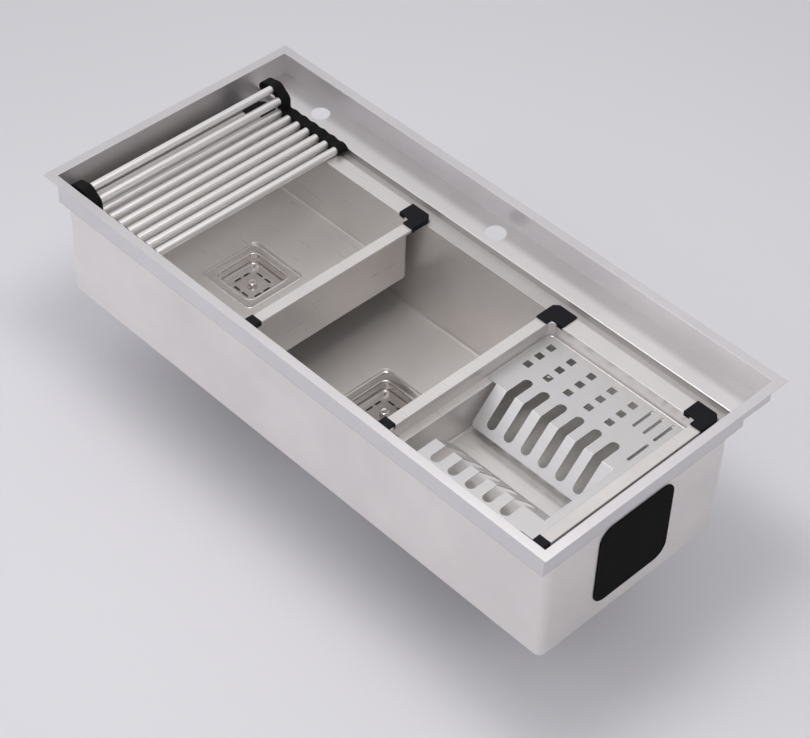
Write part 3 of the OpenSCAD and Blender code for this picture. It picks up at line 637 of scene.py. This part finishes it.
# Waste under the bowl. A moulded plastic cup is pulled against the floor by the
# waste screw, with a rubber ring between them. A ribbed slip nut holds the
# plain outlet pipe that the trap fits on. All keep the shapes of their nodes.
waste_plastic = moulded("waste_plastic", (0.55, 0.56, 0.57), 0.42, 0.2, 900)
gasket_rubber = moulded("gasket_rubber", (0.02, 0.02, 0.02), 0.6, 0.3, 700)
for node, material in (("drain_gasket", gasket_rubber), ("waste_cup", waste_plastic),
                       ("slip_nut", waste_plastic), ("tailpiece", waste_plastic),
                       ("waste_screw", drain_steel)):
    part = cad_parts[node]
    part.data.materials.clear()
    part.data.materials.append(material)

# Sound pads. Black rubber sheets with round corners are glued to the outside
# of the end walls and under the floor to deaden the noise of running water.
PAD = 2
PAD_R = 25
END_PAD = (155, 155)
FLOOR_PAD = (300, 240)
FLOOR_PAD_GAP = 30
PAD_Y = -OPEN_Y + 193
PAD_Z = RIM_TOP - 134
pad_rubber = moulded("pad_rubber", (0.002, 0.002, 0.0025), 0.85, 0.5, 500)


def pad_slab(length, width):
    bm = bmesh.new()
    face = rounded_face(bm, -length / 2, length / 2, -width / 2, width / 2, 0, PAD_R, 12)
    raise_block(bm, [face], (0, 0, PAD))
    return bm


def finish_pad(bm, name, node):
    finish_piece(bm, name, "sink", pad_rubber, [node], ease=0.7, ease_steps=3)


for name, node, x in (("sound_pad_on_right", "sound_pad_right", BOWL[1] + SHEET),
                      ("sound_pad_on_left", "sound_pad_left", BOWL[0] - SHEET - PAD)):
    pad = pad_slab(*END_PAD)
    upright = Matrix.Translation((x, PAD_Y, PAD_Z)) @ Matrix.Rotation(math.pi / 2, 4, "Y")
    bmesh.ops.transform(pad, matrix=upright, verts=pad.verts)
    finish_pad(pad, name, node)
pad = pad_slab(*FLOOR_PAD)
pad_reach = RECESS / 2 + FLOOR_PAD_GAP + FLOOR_PAD[0] / 2
bmesh.ops.translate(pad, vec=(DRAIN_X - pad_reach, DRAIN_Y, FLOOR_Z - SHEET - PAD), verts=pad.verts)
bmesh.ops.duplicate(pad, geom=everything(pad))
bmesh.ops.translate(pad, vec=(2 * pad_reach, 0, 0), verts=list(pad.verts)[:len(pad.verts) // 2])
finish_pad(pad, "floor_sound_pads", "sound_pads_floor")

# Basin. A deep box of 1 mm sheet that hangs on the ledge by flat bars along its
# four sides. The bars' outer edges are folded down to a short lip, and its
# floor has the same square recess for a drain.
INSERT_SHEET = 1.0
INSERT_R = 10
INSERT_Y = (-OPEN_Y + 3, DECK_Y - 15)
INSERT_FLOOR_ROUND = 4
BAR_H = 6
BAR_TOP = LEDGE_Z + REST_GAP + BAR_H
LIP = 5
BAR_ROUND = 1.0
BAR_CORNER = 1.2
BASIN_RIM = (-498, -98)
BASIN = (-478, -118, -216, 134)
insert_steel = brushed_steel("insert_steel", (0.63, 0.61, 0.60), (0.83, 0.80, 0.78),
                             0.26, 0.38, 0.09, 0.66)


def add_bar_rim(bm, x0, x1):
    press_hole(bm, rounded_face(bm, x0, x1, *INSERT_Y, BAR_TOP - LIP, BAR_CORNER, 3),
               [(0, LIP - BAR_ROUND)] + fold_in(BAR_ROUND, 1))


basin = bmesh.new()
add_bar_rim(basin, *BASIN_RIM)
add_pan(basin, BASIN, INSERT_R, BAR_TOP, BASIN_FLOOR, PAN_MOUTH, INSERT_FLOOR_ROUND)
fill_level(basin, BAR_TOP)
add_recess(basin, *BASIN_DRAIN, BASIN_FLOOR)
fill_level(basin, BASIN_FLOOR)
face_up(basin)
finish_piece(basin, "basin_box", "basin", insert_steel, ["basin_shell"],
             sheet=INSERT_SHEET)

# Tray. A shallower box with the same bars. A step all round, 74 mm below the
# flange, carries the dish rack, and the floor under it catches the water.
TRAY_RIM = (172, 495)
TRAY = (192, 475, -206, 132)
TRAY_LOW = (205, 462, -193, 119)
STEP_Z = RIM_TOP - 74
STEP_ROUND = 1.5
STEP_MOUTH = 1.2
TRAY_FLOOR = RIM_TOP - 140
tray = bmesh.new()
add_bar_rim(tray, *TRAY_RIM)
add_pan(tray, TRAY, INSERT_R, BAR_TOP, STEP_Z, PAN_MOUTH, STEP_ROUND)
fill_level(tray, BAR_TOP)
add_pan(tray, TRAY_LOW, INSERT_R, STEP_Z, TRAY_FLOOR, STEP_MOUTH, INSERT_FLOOR_ROUND)
fill_level(tray, STEP_Z)
fill_level(tray, TRAY_FLOOR)
face_up(tray)
finish_piece(tray, "tray_box", "tray", insert_steel, ["tray_shell"],
             sheet=INSERT_SHEET)

# Corner clips. Black rubber L shapes pushed over the bars at each corner of the
# basin and the tray. The inserts slide on them, and they keep steel off steel.
CLIP_LEG = 44
CLIP_WRAP = 1.6
CLIP_CHAMFER = 8
CLIP_ABOVE_BAR = 3
CLIP_Z = (LEDGE_Z + REST_GAP, BAR_TOP + CLIP_ABOVE_BAR)
SIDE_BAR = 20
clip_rubber = moulded("clip_rubber", (0.006, 0.006, 0.009), 0.55, 0.3, 600)


def add_clips(name, body, node, rim_x, front_bar, rear_bar):
    bm = bmesh.new()
    side = SIDE_BAR + CLIP_WRAP
    for corner_x, corner_y in CORNERS:
        bar = (front_bar if corner_y < 0 else rear_bar) + CLIP_WRAP
        outline = [(CLIP_CHAMFER, 0), (CLIP_LEG, 0), (CLIP_LEG, bar), (side, bar), (side, CLIP_LEG),
                   (0, CLIP_LEG), (0, CLIP_CHAMFER)]
        verts = [bm.verts.new((px, py, 0)) for px, py in outline]
        x = rim_x[corner_x > 0] + corner_x * CLIP_WRAP
        y = INSERT_Y[corner_y > 0] + corner_y * CLIP_WRAP
        turned = Matrix.Diagonal((-corner_x, -corner_y, 1, 1))
        bmesh.ops.transform(bm, matrix=Matrix.Translation((x, y, CLIP_Z[0])) @ turned, verts=verts)
        raise_block(bm, [bm.faces.new(verts)], (0, 0, CLIP_Z[1] - CLIP_Z[0]))
    finish_piece(bm, name, body, clip_rubber, [node], ease=1.1, ease_steps=3)


add_clips("basin_corner_clips", "basin", "basin_clips", BASIN_RIM, front_bar=18, rear_bar=29)
add_clips("tray_corner_clips", "tray", "tray_clips", TRAY_RIM, front_bar=28, rear_bar=31)

# Dish rack. One laser-cut sheet that lies on the tray's step. Two flaps are
# bent down from its window; plates stand in their slots. The flat behind them
# has square drain holes, and slits for knives at its right end.
RACK = (195, 472, -203, 129)
RACK_Z = STEP_Z + REST_GAP
RACK_T = 1.2
RACK_CORNER = 7
NOTCH_CORNER = 3
REAR_BEND = -6
FRONT_BEND = -150
BEND_R = 1.5
FLAP_ANGLE = math.radians(46)
WING_X = 447
FLAP_RIGHT = WING_X - 1
REAR_FLAP = (213, 72)
FRONT_FLAP = (232, 60)
REAR_FLAP_END = REAR_BEND - REAR_FLAP[1]
FRONT_FLAP_END = FRONT_BEND + FRONT_FLAP[1]
BETWEEN_FLAPS = REAR_FLAP_END - 3
SLOT_W = 17
SLOT_R = 8.4
SLOT_PITCH = 34.5
SLOT_X = 243
REAR_SLOT = (REAR_BEND - 61, REAR_BEND + 42)
FRONT_SLOT = (FRONT_BEND - 35, FRONT_BEND + 49)
DRAIN_HOLE_EDGE = 20
DRAIN_HOLE_PITCH = (41, 25)
DRAIN_HOLE_HALF = 6.25
SLIT_W = 5
SLIT_L = 45
SLIT_AT = ((WING_X, 100.5), (WING_X - 20, 100.5), (WING_X - 40, 100.5), (WING_X, 44.25))
rack_steel = brushed_steel("rack_steel", (0.60, 0.595, 0.60), (0.67, 0.665, 0.67),
                           0.36, 0.46, 0.07, 0.85)
rack = bmesh.new()
# Corners of the sheet with their radii, from the left end of the rear bend
outline = [(RACK[0], REAR_BEND, 0), (REAR_FLAP[0], REAR_BEND, 0),
           (REAR_FLAP[0], REAR_FLAP_END, RACK_CORNER), (FLAP_RIGHT, REAR_FLAP_END, NOTCH_CORNER),
           (FLAP_RIGHT, REAR_BEND, 0), (WING_X, REAR_BEND, 0), (WING_X, FRONT_BEND, 0),
           (FLAP_RIGHT, FRONT_BEND, 0), (FLAP_RIGHT, FRONT_FLAP_END, NOTCH_CORNER),
           (FRONT_FLAP[0], FRONT_FLAP_END, RACK_CORNER), (FRONT_FLAP[0], RACK[2], 0),
           (RACK[1], RACK[2], RACK_CORNER), (RACK[1], RACK[3], RACK_CORNER),
           (RACK[0], RACK[3], RACK_CORNER)]
corners = [(rack.verts.new((px, py, 0)), radius) for px, py, radius in outline]
rack.faces.new([vert for vert, _ in corners])
for radius in (NOTCH_CORNER, RACK_CORNER):
    bmesh.ops.bevel(rack, geom=[vert for vert, size in corners if size == radius], offset=radius,
                    offset_type="OFFSET", segments=5, profile=0.5, affect="VERTICES", material=-1)
    corners = [corner for corner in corners if corner[0].is_valid]
bmesh.ops.delete(rack, geom=list(rack.faces), context="FACES_ONLY")


def cut_slots(count, first_x, y0, y1):
    for i in range(count):
        x = first_x + i * SLOT_PITCH
        press_hole(rack, rounded_face(rack, x - SLOT_W / 2, x + SLOT_W / 2, y0, y1, 0, SLOT_R, 6))


cut_slots(6, SLOT_X, *REAR_SLOT)
cut_slots(5, SLOT_X + SLOT_PITCH / 2, *FRONT_SLOT)
for column in range(5):
    for row in range(3):
        x = RACK[0] + DRAIN_HOLE_EDGE + column * DRAIN_HOLE_PITCH[0]
        y = RACK[3] - DRAIN_HOLE_EDGE - row * DRAIN_HOLE_PITCH[1]
        press_hole(rack, square_face(rack, x, y, DRAIN_HOLE_HALF, 0, 1, 2))
for x, y in SLIT_AT:
    press_hole(rack, rounded_face(rack, x - SLIT_W / 2, x + SLIT_W / 2, y - SLIT_L / 2,
                                  y + SLIT_L / 2, 0, 2, 3))
fill_level(rack, 0)
for bend_y, way in ((REAR_BEND, -1), (FRONT_BEND, 1)):
    for i in range(5):
        cut_y = bend_y + way * BEND_R * FLAP_ANGLE * i / 4
        bmesh.ops.bisect_plane(rack, geom=everything(rack), plane_co=(0, cut_y, 0),
                               plane_no=(0, 1, 0))
for v in rack.verts:
    if v.co.x < WING_X - 0.5 and FRONT_BEND - 0.001 < v.co.y < REAR_BEND + 0.001:
        bend_y, way = (REAR_BEND, -1) if v.co.y > BETWEEN_FLAPS else (FRONT_BEND, 1)
        along = (v.co.y - bend_y) * way
        angle = min(along / BEND_R, FLAP_ANGLE)
        straight = max(0, along - BEND_R * FLAP_ANGLE)
        v.co.y = bend_y + way * (BEND_R * math.sin(angle) + straight * math.cos(FLAP_ANGLE))
        v.co.z = -BEND_R * (1 - math.cos(angle)) - straight * math.sin(FLAP_ANGLE)
bmesh.ops.translate(rack, vec=(0, 0, RACK_Z + RACK_T), verts=rack.verts)
face_up(rack)
finish_piece(rack, "plate_rack", "dish_rack", rack_steel, ["dish_rack"],
             sheet=RACK_T, ease=0.25)

# Roll-up rack. Nine satin steel tubes stand in two black rubber strips. Seven
# lie flat on the basin's bars; the last two are rolled up over the first.
TUBE_R = 6.8
TUBE_PITCH = 22.4
FLAT_TUBES = 7
FIRST_X = -448.8
STRIP_H = 16
STRIP_W = 19
GRIP = 13
TUBE_Z = BAR_TOP + REST_GAP + STRIP_H / 2
ARCH_R = 26
ARCH_SINK = 2 * TUBE_R * 0.7
ARCH_SPAN = math.radians(140)
ARCH_LOW = math.asin(ARCH_SINK / ARCH_R)
ARCH_X = FIRST_X - ARCH_R * math.cos(ARCH_LOW)
ARCH_Z = TUBE_Z + ARCH_R * math.sin(ARCH_LOW)
ARCH_STEP = 2 * math.asin(TUBE_PITCH / 2 / ARCH_R)
REAR_STRIP_END = DECK_Y - 1.6
STRIP_Y = ((INSERT_Y[0], INSERT_Y[0] + STRIP_W), (REAR_STRIP_END - STRIP_W, REAR_STRIP_END))
tube_steel = brushed_steel("tube_steel", (0.84, 0.82, 0.815), (0.90, 0.88, 0.875),
                           0.34, 0.44, 0.06, 0.85)
strip_rubber = moulded("strip_rubber", (0.003, 0.003, 0.0035), 0.7, 0.3, 600)
tube_places = [(FIRST_X + i * TUBE_PITCH, TUBE_Z) for i in range(FLAT_TUBES)]
for i in (1, 2):
    angle = ARCH_STEP * i - ARCH_LOW
    tube_places.append((ARCH_X + ARCH_R * math.cos(angle), ARCH_Z + ARCH_R * math.sin(angle)))
tube_length = STRIP_Y[1][0] - STRIP_Y[0][1] + 2 * GRIP
tube_middle = (STRIP_Y[1][0] + STRIP_Y[0][1]) / 2
tubes = bmesh.new()
for x, z in tube_places:
    made = bmesh.ops.create_cone(tubes, cap_ends=True, segments=32, radius1=TUBE_R, radius2=TUBE_R,
                                 depth=tube_length)["verts"]
    lying = Matrix.Translation((x, tube_middle, z)) @ Matrix.Rotation(math.pi / 2, 4, "X")
    bmesh.ops.transform(tubes, matrix=lying, verts=made)
finish_piece(tubes, "rack_rods", "roll_rack", tube_steel, ["rack_tubes"], ease=0.6)

# The strips' middle line runs flat under the tubes, then up round the arch. Each
# strip swells at a tube and is rounded off at both ends.
FLAT_RUN = (FLAT_TUBES - 1) * TUBE_PITCH + TUBE_PITCH / 2
ARCH_RUN = ARCH_R * (ARCH_SPAN + ARCH_LOW)
ARCH_END = 6
FLAT_END = 8
STRIP_MEAN_HALF = 6.9
STRIP_SWELL = 1.1
STRIP_BLUNTNESS = 0.02
STRIP_STEPS = 140


def strip_point(run):
    if run < 0:
        angle = -run / ARCH_R - ARCH_LOW
        outward = Vector((math.cos(angle), 0, math.sin(angle)))
        return Vector((ARCH_X, 0, ARCH_Z)) + outward * ARCH_R, outward
    return Vector((FIRST_X + run, 0, TUBE_Z)), Vector((0, 0, -1))


def strip_half(run):
    half = STRIP_MEAN_HALF + STRIP_SWELL * math.cos(2 * math.pi * run / TUBE_PITCH)
    for end, length in ((run + ARCH_RUN + ARCH_END, ARCH_END), (FLAT_RUN - run, FLAT_END)):
        if end < length:
            half *= math.sqrt(max(STRIP_BLUNTNESS, 1 - ((length - end) / length) ** 2))
    return half


for name, node, (y0, y1) in (("front_strip", "rack_strip_front", STRIP_Y[0]),
                             ("rear_strip", "rack_strip_rear", STRIP_Y[1])):
    strip = bmesh.new()
    verts = bmesh.ops.create_grid(strip, x_segments=STRIP_STEPS, y_segments=1, size=0.5)["verts"]
    for v in verts:
        run = -ARCH_RUN - ARCH_END + (v.co.x + 0.5) * (FLAT_RUN + ARCH_RUN + ARCH_END)
        side = 1 if v.co.y > 0 else -1
        middle, outward = strip_point(run)
        v.co = middle + outward * side * strip_half(run)
    bmesh.ops.translate(strip, vec=(0, y0, 0), verts=verts)
    raise_block(strip, list(strip.faces), (0, y1 - y0, 0))
    finish_piece(strip, name, "roll_rack", strip_rubber, [node], ease=1.0)
